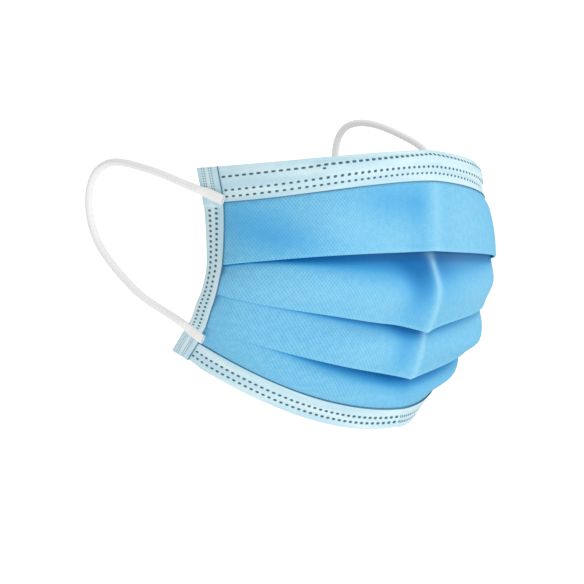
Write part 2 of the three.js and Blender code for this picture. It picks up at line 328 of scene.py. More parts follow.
def cloth_piece(name, across, down, depth, thickness, materials, fields=()):
    """A closed thin cloth round a grid of places on the form, one row of the grid a section.

    The first material is on the cloth's outer face and the last on its inner face. Each field is an
    array of the grid's shape that becomes an attribute, and cloth holds millimetres along the cloth.
    """
    across, down, depth = np.broadcast_arrays(across, down, depth)
    centre = form.at(across, down, depth)
    normal = grid_normals(centre)
    first = form.at(across[:1, :1], down[:1, :1], depth[:1, :1] + MM) - centre[:1, :1]
    if (normal[0, 0] * first[0, 0]).sum() < 0:
        normal = -normal
    rows, columns = across.shape
    outer, inner = centre + normal * thickness / 2, centre - normal * thickness / 2
    ring = np.concatenate([outer, inner[:, ::-1]], axis=1)
    count = 2 * columns
    i, j = np.meshgrid(np.arange(rows - 1), np.arange(count), indexing="ij")
    a, b = i * count + j, i * count + (j + 1) % count
    sides = np.stack([a, a + count, b + count, b], axis=-1).reshape(-1, 4)
    k = np.arange(columns - 1)
    cap = np.stack([k, k + 1, count - 2 - k, count - 1 - k], axis=-1)
    last = (rows - 1) * count
    faces = np.concatenate([sides, cap, cap[:, ::-1] + last])
    if volume(ring, faces) < 0:
        faces = faces[:, ::-1]
    is_inner = ((j >= columns) & (j < count - 1)).ravel()
    indices = np.concatenate([is_inner, np.zeros(2 * len(cap), bool)]).astype(int)
    indices *= len(materials) - 1
    attributes = {}
    for key, values in dict(fields).items():
        values = np.broadcast_to(values, across.shape)
        attributes[key] = np.concatenate([values, values[:, ::-1]], axis=1)
    along = [np.linalg.norm(np.diff(centre, axis=axis), axis=-1) for axis in (0, 1)]
    middle = rows // 2
    lengthwise = np.concatenate([[0], np.cumsum(along[0][:, columns // 2])])
    crosswise = np.concatenate([np.zeros((rows, 1)), np.cumsum(along[1], axis=1)], axis=1)
    place = np.stack([np.broadcast_to(lengthwise[:, None], across.shape), crosswise,
                      np.zeros(across.shape)], axis=-1) / MM
    place[..., 0] -= place[middle, 0, 0]
    mirrored = place[:, ::-1]
    attributes["cloth"] = np.concatenate([place, mirrored], axis=1)
    return add_mesh(name, ring, faces, materials, indices, attributes)


def dashes(along, away, pitch, length, width):
    """A field that is under 1 on the dashes of a row, along it at that pitch and away from its line."""
    to_middle = (np.mod(along / pitch, 1) - 0.5) * pitch
    return (np.abs(2 * to_middle / length) ** 3 + np.abs(2 * away / width) ** 3) ** (1 / 3)


WELD_DEPTH = 0.16 * MM


def pressed(field):
    """How far a weld sinks the cloth."""
    return -WELD_DEPTH * smooth(1.5 - field)


# ---- materials -------------------------------------------------------------------------------------
def linear(red, green, blue):
    """A colour given from 0 to 255, as the shader wants it."""
    parts = [c / 255 for c in (red, green, blue)]
    return [c / 12.92 if c <= 0.04045 else ((c + 0.055) / 1.055) ** 2.4 for c in parts] + [1.0]


class Shader:
    """A material's node tree, with short calls for the nodes that these finishes use."""

    def __init__(self, name, roughness, sheen=0.0, specular=0.25):
        self.material = bpy.data.materials.new(name)
        self.material.use_nodes = True
        self.tree = self.material.node_tree
        self.surface = self.tree.nodes["Principled BSDF"]
        self.surface.inputs["Roughness"].default_value = roughness
        self.surface.inputs["Sheen Weight"].default_value = sheen
        self.surface.inputs["Specular IOR Level"].default_value = specular

    def node(self, kind, inputs=None, **settings):
        made = self.tree.nodes.new(kind)
        for key, value in settings.items():
            setattr(made, key, value)
        for key, value in (inputs or {}).items():
            if isinstance(value, bpy.types.NodeSocket):
                self.tree.links.new(value, made.inputs[key])
            else:
                made.inputs[key].default_value = value
        return made

    def math(self, operation, a, b=0.0, c=0.0):
        return self.node("ShaderNodeMath", {0: a, 1: b, 2: c}, operation=operation).outputs[0]

    def scaled(self, value, low, high, strength):
        """value from low to high as 0 to strength."""
        return self.math("MULTIPLY", self.between(value, low, high), strength)

    def attribute(self, name, output="Fac"):
        return self.node("ShaderNodeAttribute", attribute_name=name).outputs[output]

    def between(self, value, low, high):
        """value from low to high as 0 to 1."""
        inputs = {"Value": value, "From Min": low, "From Max": high}
        return self.node("ShaderNodeMapRange", inputs, interpolation_type="SMOOTHSTEP").outputs["Result"]

    def mixed(self, share, a, b):
        made = self.node("ShaderNodeMix", {"Factor": share}, data_type="RGBA")
        for socket, value in (("A", a), ("B", b)):
            slot = next(s for s in made.inputs if s.name == socket and s.type == "RGBA")
            if isinstance(value, bpy.types.NodeSocket):
                self.tree.links.new(value, slot)
            else:
                slot.default_value = value
        return next(s for s in made.outputs if s.type == "RGBA")

    def noise(self, place, scale, detail=3.0, roughness=0.5):
        inputs = {"Vector": place, "Scale": scale, "Detail": detail, "Roughness": roughness}
        return self.node("ShaderNodeTexNoise", inputs).outputs["Fac"]

    def stretched(self, place, x, y):
        inputs = {0: place, 1: (x, y, 1.0)}
        return self.node("ShaderNodeVectorMath", inputs, operation="MULTIPLY").outputs[0]

    def finish(self, colour, height, strength, distance):
        self.tree.links.new(colour, self.surface.inputs["Base Color"])
        inputs = {"Height": height, "Strength": strength, "Distance": distance}
        bump = self.node("ShaderNodeBump", inputs)
        self.tree.links.new(bump.outputs["Normal"], self.surface.inputs["Normal"])
        return self.material


BLUE_BONDS = 1.25                      # pitch of the body cloth's embossed points, in millimetres
PALE_BONDS = 0.8                       # and of the tape's


def nonwoven(shader, place, pitch):
    """(bonds, fibres, clouds) of a spunbond cloth: its embossed diamond of bond points, its fine
    fibres, and the uneven spread of its fibres."""
    parts = shader.node("ShaderNodeSeparateXYZ", {0: place}).outputs
    turn = math.pi / pitch
    waves = []
    for operation in ("ADD", "SUBTRACT"):
        sloped = shader.math(operation, parts[0], shader.math("MULTIPLY", parts[1], 0.8))
        waves.append(shader.math("SINE", shader.math("MULTIPLY", sloped, turn)))
    lattice = shader.math("ABSOLUTE", shader.math("MULTIPLY", *waves))
    bonds = shader.between(lattice, 0.35, 0.9)
    one_way = shader.noise(shader.stretched(place, 0.9, 5.0), 1.0, 4.0, 0.6)
    other_way = shader.noise(shader.stretched(place, 5.0, 0.9), 1.0, 4.0, 0.6)
    fibres = shader.math("MULTIPLY", shader.math("ADD", one_way, other_way), 0.5)
    clouds = shader.noise(place, 0.45, 4.0, 0.6)
    return bonds, fibres, clouds


BLUE = linear(116, 193, 230)
BLUE_DEEP = linear(52, 154, 212)
BLUE_PALE = linear(164, 221, 244)
# The next two blues are painted shade, a lighter and a deeper step: under the pleats' edges, in the
# hidden folds, beside the crease and in the dark patches.
BLUE_SOFT_SHADE = linear(70, 166, 224)
BLUE_DEEP_SHADE = linear(0, 106, 176)     # painted under a pleat's edge as its shade
INNER_WHITE = linear(238, 244, 247)
INNER_SHADE = linear(212, 226, 234)
PALE = linear(208, 235, 241)
PALE_DEEP = linear(182, 219, 234)
PALE_LIGHT = linear(232, 245, 249)
WELD = linear(38, 80, 92)
TEAL_EDGE_SHADOW = linear(38, 112, 146)
ELASTIC = linear(253, 253, 252)
ELASTIC_SHADE = linear(245, 245, 244)
WIRE_COAT = linear(226, 233, 238)


def blue_cloth():
    """The outer face. Its attributes are shade, the painted shade that deepens its blue, and the painted
    highlight that makes it paler.
    """
    shader = Shader("blue_nonwoven", 0.85, specular=0.08)
    place = shader.attribute("cloth", "Vector")
    bonds, fibres, clouds = nonwoven(shader, place, BLUE_BONDS)
    colour = shader.mixed(shader.scaled(clouds, 0.3, 0.7, 0.3), BLUE, BLUE_PALE)
    colour = shader.mixed(shader.math("MULTIPLY", bonds, 0.42), colour, BLUE_DEEP)
    colour = shader.mixed(shader.scaled(fibres, 0.5, 0.75, 0.35), colour, BLUE_PALE)
    shade = shader.attribute("shade")
    # Painted shade: the blue deepens under the pleats' edges, in the hidden folds, beside the crease and
    # in the dark patches.
    colour = shader.mixed(shader.between(shade, 0.0, 0.7), colour, BLUE_SOFT_SHADE)
    colour = shader.mixed(shader.between(shade, 0.35, 1.0), colour, BLUE_DEEP_SHADE)
    # Painted highlight: paler on the pleats' edges, along the crease and in the pale patches.
    colour = shader.mixed(shader.math("MULTIPLY", shader.attribute("painted_highlight"), 0.75), colour, BLUE_PALE)
    height = shader.math("SUBTRACT", shader.math("MULTIPLY", fibres, 0.8), bonds)
    return shader.finish(colour, height, 0.5, 0.00008)


def inner_cloth():
    """The white face ply on the inside."""
    shader = Shader("white_nonwoven", 0.85, sheen=0.15)
    place = shader.attribute("cloth", "Vector")
    bonds, fibres, clouds = nonwoven(shader, place, BLUE_BONDS)
    colour = shader.mixed(shader.scaled(clouds, 0.3, 0.7, 0.35), INNER_WHITE, INNER_SHADE)
    colour = shader.mixed(shader.math("MULTIPLY", bonds, 0.4), colour, INNER_SHADE)
    height = shader.math("SUBTRACT", shader.math("MULTIPLY", fibres, 0.8), bonds)
    return shader.finish(colour, height, 0.5, 0.00008)


def pale_cloth():
    """The thin tape of the hems and bindings. Its attributes are weld, under 1 on a weld mark, and
    edge, the distance in millimetres from the tape's cut edge."""
    shader = Shader("pale_nonwoven", 0.78, sheen=0.1)
    place = shader.attribute("cloth", "Vector")
    bonds, fibres, clouds = nonwoven(shader, place, PALE_BONDS)
    streaks = shader.noise(shader.stretched(place, 0.035, 0.30), 1.0, 3.0, 0.5)
    colour = shader.mixed(shader.scaled(clouds, 0.3, 0.7, 0.3), PALE, PALE_DEEP)
    colour = shader.mixed(shader.scaled(streaks, 0.42, 0.68, 0.75), colour, PALE_DEEP)
    colour = shader.mixed(shader.scaled(streaks, 0.48, 0.30, 0.6), colour, PALE_LIGHT)
    colour = shader.mixed(shader.scaled(fibres, 0.48, 0.7, 0.4), colour, PALE_LIGHT)
    colour = shader.mixed(shader.math("MULTIPLY", bonds, 0.12), colour, PALE_DEEP)
    colour = shader.mixed(shader.scaled(shader.attribute("weld"), 1.2, 0.75, 0.92), colour, WELD)
    # A dark teal line along the tape's cut edge: the cut edge and a painted shadow along it.
    colour = shader.mixed(shader.scaled(shader.attribute("edge"), 0.42, 0.18, 0.9), colour, TEAL_EDGE_SHADOW)
    height = shader.math("SUBTRACT", fibres, shader.math("MULTIPLY", bonds, 0.4))
    return shader.finish(colour, height, 0.4, 0.00007)


STITCH_LENGTH = 0.9                    # of the elastic's knit, in millimetres
WALES = 9                              # columns of stitches round the elastic


def elastic_knit():
    """White knitted elastic. knit holds millimetres along the cord and turns round it."""
    shader = Shader("white_elastic", 0.9, sheen=0.2)
    place = shader.attribute("knit", "Vector")
    parts = shader.node("ShaderNodeSeparateXYZ", {0: place}).outputs
    along = shader.math("MULTIPLY", parts[0], 2 * math.pi / STITCH_LENGTH)
    wales = shader.math("MULTIPLY", parts[1], 2 * math.pi * WALES)
    swing = shader.math("MULTIPLY", shader.math("SINE", wales), 1.2)
    stitch = shader.math("SINE", shader.math("ADD", along, swing))
    ribs = shader.math("ABSOLUTE", shader.math("SINE", shader.math("MULTIPLY", wales, 0.5)))
    loops = shader.math("MULTIPLY_ADD", stitch, 0.5, 0.5)
    height = shader.math("MULTIPLY", loops, ribs)
    # The knit's low places are painted a little darker, as painted shade.
    colour = shader.mixed(shader.between(height, 0.05, 0.6), ELASTIC_SHADE, ELASTIC)
    return shader.finish(colour, height, 0.6, 0.00012)


def wire_coat():
    shader = Shader("coated_wire", 0.45)
    place = shader.node("ShaderNodeTexCoord").outputs["Object"]
    speckle = shader.noise(place, 900.0, 2.0)
    colour = shader.mixed(shader.between(speckle, 0.4, 0.7), WIRE_COAT, PALE_DEEP)
    return shader.finish(colour, speckle, 0.2, 0.00005)


# ---- the pleated body ------------------------------------------------------------------------------
PANEL_POINTS = 26
LAP_POINTS = 5
ARC_POINTS = 9
EDGE_INSET = 0.3 * MM                  # the body stops this far inside the hems and bindings
BODY_SECTIONS = 211
FLAT_FROM = 0.8                        # share of the half width where the sides are pressed flat
CLIMB = 2.2                            # how steeply a panel leaves its hidden fold at the middle
CLEAR_SHARE = 0.6                      # share of a side panel over which it comes out from its fold
# how far up from a pleat's edge its painted highlight reaches
HIGHLIGHT_REACH = 0.7 * MM
EDGE_HIGHLIGHT = 0.3                        # how strong the painted highlight on a pleat's edge is at the middle
SHADE_FALL = 1.3                       # how sharply the painted shade ends
SHADE_NARROWS = (0.12, 0.82)           # shares of the half width between which its reach shrinks
FOLD_FLAT_FROM = 0.95                  # share of the half width where the hidden folds are pressed flat
FOLD_FLATTENING = 0.8                  # how early they flatten
CROWD = 1.6                            # how much closer the sections lie near the middle


def crowded(half, count, crowd):
    """Distances from -half to half, closer together near the middle."""
    share = np.linspace(-1, 1, count)
    return half * np.sign(share) * np.expm1(crowd * np.abs(share)) / math.expm1(crowd)


def body_section(across):
    """(down, depth, highlight, shade) of the pleated panel's middle surface, a row for each across;
    highlight and shade are painted.
    """
    across = across[:, None]
    to_side = np.abs(across) / HALF_WIDTH
    surface = -BODY_THICK / 2
    top = np.full(across.shape, EDGE_INSET)
    fold_depth = np.zeros(across.shape)
    last_edge, reach = top, SIDE_SHADE
    edge_highlight = EDGE_HIGHLIGHT * (1 - smooth(to_side / FLAT_FROM))
    downs, depths, painted_highlights, shades = [], [], [], []
    arc = np.linspace(0, math.pi, ARC_POINTS)[None, 1:-1]
    share = np.linspace(0, 1, PANEL_POINTS)[None, :]
    lap_share = np.linspace(0, 1, LAP_POINTS)[None, :]
    on_arc = np.ones((len(across), arc.shape[1]))
    on_lap = np.ones((len(across), LAP_POINTS))
    on_panel = np.ones((len(across), PANEL_POINTS))
    for row, mid_lap, side_lap, mid_depth, mid_reach in [*PLEATS, (None, 0, 0, 0, 0)]:
        is_first, is_last = not downs, row is None
        edge = form.length(across) - EDGE_INSET if is_last else form.row(row, across)
        start = top + (0 if is_first else FOLD_RADIUS)
        end = edge - (0 if is_last else FOLD_RADIUS)
        # The panel leaves its hidden fold steeply and lies flat over its lower part. At the sides it
        # stays behind the fold above until it is past that fold's edge.
        downs.append(mix(start, end, share))
        below = np.maximum(downs[-1] - last_edge, 0)
        behind = 1 - smooth(below / (CLEAR_SHARE * (end - last_edge)))
        climb = mix((1 - share) ** CLIMB, behind, smooth(to_side / FLAT_FROM))
        depths.append(surface - fold_depth * climb)
        # Near its own edge a panel gets a painted highlight, and below the edge above it a painted
        # shade.
        near_edge = np.exp(-((1 - share) * (end - start) / HIGHLIGHT_REACH) ** 2)
        painted_highlights.append(0 * on_panel if is_last else near_edge * edge_highlight)
        shades.append(0 * on_panel if is_first else np.exp(-(below / reach) ** SHADE_FALL))
        if is_last:
            break
        # The pleat's edge, the hidden layer up behind it, and the fold at that layer's top.
        fold = edge - mix(mid_lap, side_lap, to_side)
        flattened = smooth(to_side / FOLD_FLAT_FROM) ** FOLD_FLATTENING
        fold_depth = mix(mid_depth, SIDE_FOLD_DEPTH, flattened)
        downs.append(edge - FOLD_RADIUS + FOLD_RADIUS * np.sin(arc))
        depths.append((surface - FOLD_RADIUS + FOLD_RADIUS * np.cos(arc)) * on_arc)
        # The fold's arc carries the painted highlight; the hidden layer and its fold are painted in full
        # shade.
        painted_highlights.append(edge_highlight * on_arc)
        shades.append(0 * on_arc)
        downs.append(mix(end, fold + FOLD_RADIUS, lap_share))
        depths.append(surface + mix(-2 * FOLD_RADIUS, 2 * FOLD_RADIUS - fold_depth, lap_share))
        painted_highlights.append(0 * on_lap)
        shades.append(on_lap)
        downs.append(fold + FOLD_RADIUS - FOLD_RADIUS * np.sin(arc))
        depths.append(surface - fold_depth + FOLD_RADIUS + FOLD_RADIUS * np.cos(arc))
        painted_highlights.append(0 * on_arc)
        shades.append(on_arc)
        last_edge, top = edge, fold
        narrows_at, narrow_at = SHADE_NARROWS
        reach = mix(mid_reach, SIDE_SHADE, smooth((to_side - narrows_at) / (narrow_at - narrows_at)))
    return [np.concatenate(part, axis=1) for part in (downs, depths, painted_highlights, shades)]


# Soft patches of deeper and paler blue, painted into the cloth's colour, most of them on the right side:
# painted shade and painted light, which show under any light.
PAINTED_LIGHT_AND_SHADE = [
    # across, share down, size across, size down, how deep the painted shade, or how pale the painted
    # light where it is negative
    (-76 * MM, 0.21, 13 * MM, 0.08, 0.32),
    (-58 * MM, 0.30, 14 * MM, 0.06, 0.34),
    (-22 * MM, 0.165, 12 * MM, 0.05, 0.38),
    (-7 * MM, 0.20, 5 * MM, 0.07, 0.25),
    (-40 * MM, 0.24, 9 * MM, 0.05, -0.30),
    (-20 * MM, 0.305, 9 * MM, 0.03, -0.25),
    (-7 * MM, 0.47, 5.5 * MM, 0.11, 0.46),
    (-50 * MM, 0.49, 15 * MM, 0.03, -0.22),
    (-24 * MM, 0.53, 8 * MM, 0.04, -0.25),
    (-7 * MM, 0.72, 4.5 * MM, 0.06, 0.36),
    (-48 * MM, 0.66, 9 * MM, 0.03, 0.15),
    (-24 * MM, 0.71, 8 * MM, 0.03, -0.25),
    (-30 * MM, 0.90, 14 * MM, 0.02, -0.15),
    (7 * MM, 0.44, 6 * MM, 0.08, 0.16),
    (18 * MM, 0.24, 9 * MM, 0.09, -0.20),
    (58 * MM, 0.22, 12 * MM, 0.07, 0.25),
    (40 * MM, 0.50, 12 * MM, 0.05, -0.20),
    (62 * MM, 0.70, 11 * MM, 0.04, 0.15),
    (36 * MM, 0.45, 26 * MM, 0.30, -0.22),
]


# The painted highlight along the middle crease: a pale band down to the third pleat.
CREASE_BAND = {
    "centre": 1.2 * MM,
    "widths": (3.6 * MM, 2.0 * MM),    # above and below the place where it narrows
    "strengths": (0.45, 0.75),
    "narrows_at": 0.34,
    "narrows_over": 0.05,
    "past_pleat": 0.3 * MM,
}


def crease_band(from_crease, share, down, last_pleat):
    sharp = smooth((share - CREASE_BAND["narrows_at"]) / CREASE_BAND["narrows_over"])
    width = mix(*CREASE_BAND["widths"], sharp)
    band = np.exp(-((from_crease - CREASE_BAND["centre"]) / width) ** 2)
    return mix(*CREASE_BAND["strengths"], sharp) * band * (down < last_pleat + CREASE_BAND["past_pleat"])


def add_body(materials):
    across = crowded(HALF_WIDTH - EDGE_INSET, BODY_SECTIONS, CROWD)
    down, depth, painted_highlight, shade = body_section(across)
    from_crease = across[:, None]
    share = down / form.length(across)[:, None]
    painted_highlight = painted_highlight + crease_band(from_crease, share, down, form.row("pleat3", across)[:, None])
    for at_across, at_share, size_across, size_share, amount in PAINTED_LIGHT_AND_SHADE:
        apart = ((from_crease - at_across) / size_across) ** 2 + ((share - at_share) / size_share) ** 2
        # The right side's patches end sharply at the middle crease.
        own_side = smooth(0.4 - from_crease / MM) if at_across < 0 else 1.0
        painted_patch = amount * np.exp(-apart / 2) * own_side
        shade, painted_highlight = shade + np.maximum(painted_patch, 0), painted_highlight + np.maximum(-painted_patch, 0)
    fields = {"painted_highlight": np.clip(painted_highlight, 0, 1), "shade": np.clip(shade, 0, 1)}
    body = cloth_piece("mask_cloth", across[:, None], down, depth, BODY_THICK, materials, fields)
    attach(body, "root")
    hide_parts("mask_body")
    return body


# ---- hems ------------------------------------------------------------------------------------------
HEM_REACH = HALF_WIDTH - BINDING_WIDTH + 2.5 * MM    # a hem's ends lie under the bindings
HEM_OVERHANG = 1.0 * MM                # of the bottom hem, past the edge of the body
OVERHANG_INSET = 2 * MM                # it ends this far from the hem's ends
OVERHANG_FADE = 8 * MM
TOP_PITCH = 2.47 * MM
BOTTOM_PITCH = 2.2 * MM
DASH_POINTS = 7                        # sections to a dash's pitch
TOP_FRONT_POINTS = 62
FRONT_POINTS = 36                      # down the front of the bottom hem and the bindings
HEM_BEND = 0.35 * MM
TURN_POINTS = 9
BACK_POINTS = 8
NO_WELD = 4.0                          # the field's value away from every weld
TOP_DASHES = [
    # measured from, place at the middle, place at the sides, dash length, dash width
    ("edge", 1.5 * MM, 3.9 * MM, 1.6 * MM, 0.86 * MM),
    ("lower", 4.9 * MM, 4.1 * MM, 1.3 * MM, 0.84 * MM),
    ("lower", 2.9 * MM, 1.9 * MM, 1.3 * MM, 0.84 * MM),
]
WIRE_DOT = {"past_wire": 1.0 * MM, "down": 3.9 * MM, "half_length": 0.65 * MM, "half_width": 0.4 * MM}
# The strip that the nose wire raises. It is spared that share of a weld's depth.
RIDGE = {"lift": 1.0 * MM, "above": 2.2 * MM, "rise": 2.0 * MM, "below": 2.4 * MM, "fall": 2.2 * MM,
         "past_wire": 7.2 * MM, "fade": 7 * MM, "spared": 0.8}
BOTTOM_DASHES = [
    # share of the hem's width from its upper edge, shift along in pitches
    (0.46, 0.0),
    (0.72, 0.25),
]
BOTTOM_DASH = (1.35 * MM, 0.90 * MM)   # length and width


def hem_columns(pitch):
    count = 4 * int(HEM_REACH / pitch * DASH_POINTS / 2) + 1
    return np.linspace(-HEM_REACH, HEM_REACH, count)[:, None]


def turned(front, back_end, face, back, bend):
    """(place, depth) of a strip that comes along its front to 0, turns over the edge and runs back."""
    column = np.zeros((len(front), 1))
    face, back = column + face, column + back
    angle = np.linspace(0, math.pi, TURN_POINTS)[None, 1:-1]
    behind = mix(bend, back_end, np.linspace(0, 1, BACK_POINTS)[None, :])
    place = [front, bend - bend * np.sin(angle) + column, behind + column]
    depth = [np.zeros(front.shape) + face, mix(back, face, 0.5 + 0.5 * np.cos(angle)),
             np.zeros(behind.shape) + back]
    return np.concatenate(place, axis=1), np.concatenate(depth, axis=1)


def joined_welds(rows, on_front):
    """One weld field from those of several rows, on the front of a strip only."""
    nearest = np.minimum.reduce([np.clip(row, 0, NO_WELD) for row in rows])
    return np.where(on_front, nearest, NO_WELD)


def wire_ridge(across, down):
    """How much of its lift the nose wire gives the hem at these places."""
    ridge = smooth((down - WIRE["from_top"] + RIDGE["above"]) / RIDGE["rise"])
    ridge = ridge * smooth((WIRE["from_top"] + WIRE["width"] + RIDGE["below"] - down) / RIDGE["fall"])
    return ridge * smooth((WIRE["half_length"] + RIDGE["past_wire"] - np.abs(across)) / RIDGE["fade"])


def add_top_hem(material):
    across = hem_columns(TOP_PITCH)
    side = np.abs(across) / HALF_WIDTH
    lower = form.row("hem", across)
    front = mix(lower, HEM_BEND, np.linspace(0, 1, TOP_FRONT_POINTS)[None, :])
    face = SEAT + HEM_THICK / 2
    down, depth = turned(front, HEM_TURN, face, -BODY_THICK - face, HEM_BEND)
    on_front = np.arange(down.shape[1])[None, :] < front.shape[1]
    rows = []
    for origin, middle, at_side, length, width in TOP_DASHES:
        line = mix(middle, at_side, side)
        line = line if origin == "edge" else lower - line
        rows.append(dashes(across, down - line, TOP_PITCH, length, width))
    dot_along = (np.abs(across) - WIRE["half_length"] - WIRE_DOT["past_wire"]) / WIRE_DOT["half_length"]
    rows.append(np.hypot(dot_along, (down - WIRE_DOT["down"]) / WIRE_DOT["half_width"]))
    weld = joined_welds(rows, on_front)
    ridge = wire_ridge(across, down)
    sunk = pressed(weld) * (1 - RIDGE["spared"] * ridge)
    depth = depth + np.where(on_front, RIDGE["lift"] * ridge + sunk, 0)
    edge = np.where(on_front, (lower - down) / MM, NO_WELD)
    hem = cloth_piece("top_hem_tape", across, down, depth, HEM_THICK, [material],
                      {"weld": weld, "edge": edge})
    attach(hem, "root")
    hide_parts("top_hem")
    return hem


def add_bottom_hem(material):
    across = hem_columns(BOTTOM_PITCH)
    upper, length = form.row("chin", across), form.length(across)
    width = length - upper
    front = mix(width, HEM_BEND, np.linspace(0, 1, FRONT_POINTS)[None, :])
    face = SEAT + HEM_THICK / 2
    up, depth = turned(front, HEM_TURN, face, -BODY_THICK - face, HEM_BEND)
    on_front = np.arange(up.shape[1])[None, :] < front.shape[1]
    rows = [
        dashes(across + shift * BOTTOM_PITCH, up - width * (1 - share), BOTTOM_PITCH, *BOTTOM_DASH)
        for share, shift in BOTTOM_DASHES
    ]
    weld = joined_welds(rows, on_front)
    depth = depth + np.where(on_front, pressed(weld), 0)
    edge = np.where(on_front, (width - up) / MM, NO_WELD)
    overhang = HEM_OVERHANG * smooth((HEM_REACH - OVERHANG_INSET - np.abs(across)) / OVERHANG_FADE)
    up = up - overhang * (1 - np.clip(up / width, 0, 1))
    hem = cloth_piece("bottom_hem_tape", across, length - up, depth, HEM_THICK, [material],
                      {"weld": weld, "edge": edge})
    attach(hem, "root")
    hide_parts("bottom_hem")
    return hem


# ---- side bindings ---------------------------------------------------------------------------------
DOT_PITCH = 1.7 * MM
DOT_SIZE = 0.98 * MM
DOT_ROWS = (2.5 * MM, 5.25 * MM)       # from the side edge
DOT_STRETCH = 1.35                     # a dot is this much wider than long
BESIDE_LOOPS = 1.3 * MM                # kept free of dots on either side of a loop's end
FINE_PITCH = 0.85 * MM
FINE_SHIFT = 0.42 * MM
FINE_DASH = (0.6 * MM, 0.44 * MM)      # length and width
BINDING_BEND = 0.55 * MM
STACK_FADE = {"below_top": 0.2, "above_bottom": 12 * MM}   # where the side folds begin to add up
BINDING_SECTIONS = 420


def stack_profile(down, side):
    """(face, back) depths that the tape needs over the body and hems at the side edge."""
    across = np.array([side * (HALF_WIDTH - EDGE_INSET)])
    length = form.length(across[0])
    hem = HEM_THICK + SEAT
    lower, upper = form.row("hem", across[0]), form.row("chin", across[0])
    over_hems = 1 - smooth((down - lower) / MM) + smooth((down - upper) / MM + 1)
    folds = smooth(down / lower - STACK_FADE["below_top"])
    folds = folds * smooth((length - down) / STACK_FADE["above_bottom"])
    return hem * over_hems, -BODY_THICK - SIDE_FOLD_DEPTH * folds - hem


def add_binding(name, node, side, loop_downs, material):
    down_share = np.linspace(0, 1, BINDING_SECTIONS)[:, None]
    length_at_edge = form.length(side * HALF_WIDTH)
    down_at_edge = down_share * length_at_edge
    face, back = stack_profile(down_at_edge, side)
    face = face + SEAT + TAPE_THICK / 2
    back = back - SEAT - TAPE_THICK / 2
    front = mix(BINDING_WIDTH, BINDING_BEND, np.linspace(0, 1, FRONT_POINTS)[None, :])
    front = np.repeat(front, len(face), axis=0)
    inward, depth = turned(front, BINDING_WIDTH, face, back, BINDING_BEND)
    on_front = np.arange(inward.shape[1])[None, :] < front.shape[1]
    upper, lower = loop_downs
    between = (down_at_edge > upper + BESIDE_LOOPS) & (down_at_edge < lower - BESIDE_LOOPS)
    beyond = (down_at_edge < upper - BESIDE_LOOPS) | (down_at_edge > lower + BESIDE_LOOPS)
    weld = np.full(inward.shape, NO_WELD)
    for row, at in enumerate(DOT_ROWS):
        along = down_at_edge + row * DOT_PITCH / 2
        dots = dashes(along, inward - at, DOT_PITCH, DOT_SIZE, DOT_STRETCH * DOT_SIZE)
        weld = np.where(between, np.minimum(weld, dots), weld)
        for shift in (-FINE_SHIFT, FINE_SHIFT):
            fine = dashes(along, inward - at - shift, FINE_PITCH, *FINE_DASH)
            weld = np.where(beyond, np.minimum(weld, fine), weld)
    weld = joined_welds([weld], on_front)
    depth = depth + np.where(on_front, pressed(weld), 0)
    edge = np.where(on_front, (BINDING_WIDTH - inward) / MM, NO_WELD)
    across = side * (HALF_WIDTH - inward)
    down = down_share * form.length(across)
    binding = cloth_piece(name, across, down, depth, TAPE_THICK, [material],
                          {"weld": weld, "edge": edge})
    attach(binding, "root")
    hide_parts(node)
    return binding


# ---- ear loops -------------------------------------------------------------------------------------
LOOP_RINGS = 520
LOOP_SIDES = 36
ROUTE_STEPS = 24                       # samples between one point of a route and the next
SMOOTHING = 23                         # rings that the window of the last smoothing spans
KNIT_RIPPLE = {"height": 0.035, "pitch": 1.8, "swing": 1.2}
PRESSED_END = {"length": 6 * MM, "fade": 6 * MM, "half_width": 1.7 * MM, "half_thick": 0.5 * MM,
               "seat": 8.5 * MM, "follow": 26 * MM}


def seat_ends(centre, from_end, first_half):
    """Bring the welded ends down on to the bindings. The free elastic follows them gradually."""
    height = SEAT + HEM_THICK + TAPE_THICK + 2 * SEAT + PRESSED_END["half_thick"]
    seated = from_end <= PRESSED_END["seat"]
    for half in (first_half, ~first_half):
        ends = np.flatnonzero(half & seated)
        lowered = []
        for i in ends:
            across, down = form.nearest(centre[i])
            lowered.append(form.at(np.array(across), np.array(down), np.array(height)))
        inmost = np.argmax(from_end[ends])
        follow = lowered[inmost] - centre[ends[inmost]]
        free = np.flatnonzero(half & ~seated)
        fade = 1 - smooth((from_end[free] - PRESSED_END["seat"]) / PRESSED_END["follow"])
        centre[free] += follow * fade[:, None]
        centre[ends] = lowered


def smoothed(centre):
    """The same line with its small kinks rounded off and its ends kept in place."""
    window = np.hanning(SMOOTHING)
    window /= window.sum()
    beyond = SMOOTHING // 2
    padded = np.pad(centre, ((beyond, beyond), (0, 0)), mode="reflect", reflect_type="odd")
    return np.stack([np.convolve(padded[:, k], window, "valid") for k in range(3)], axis=-1)


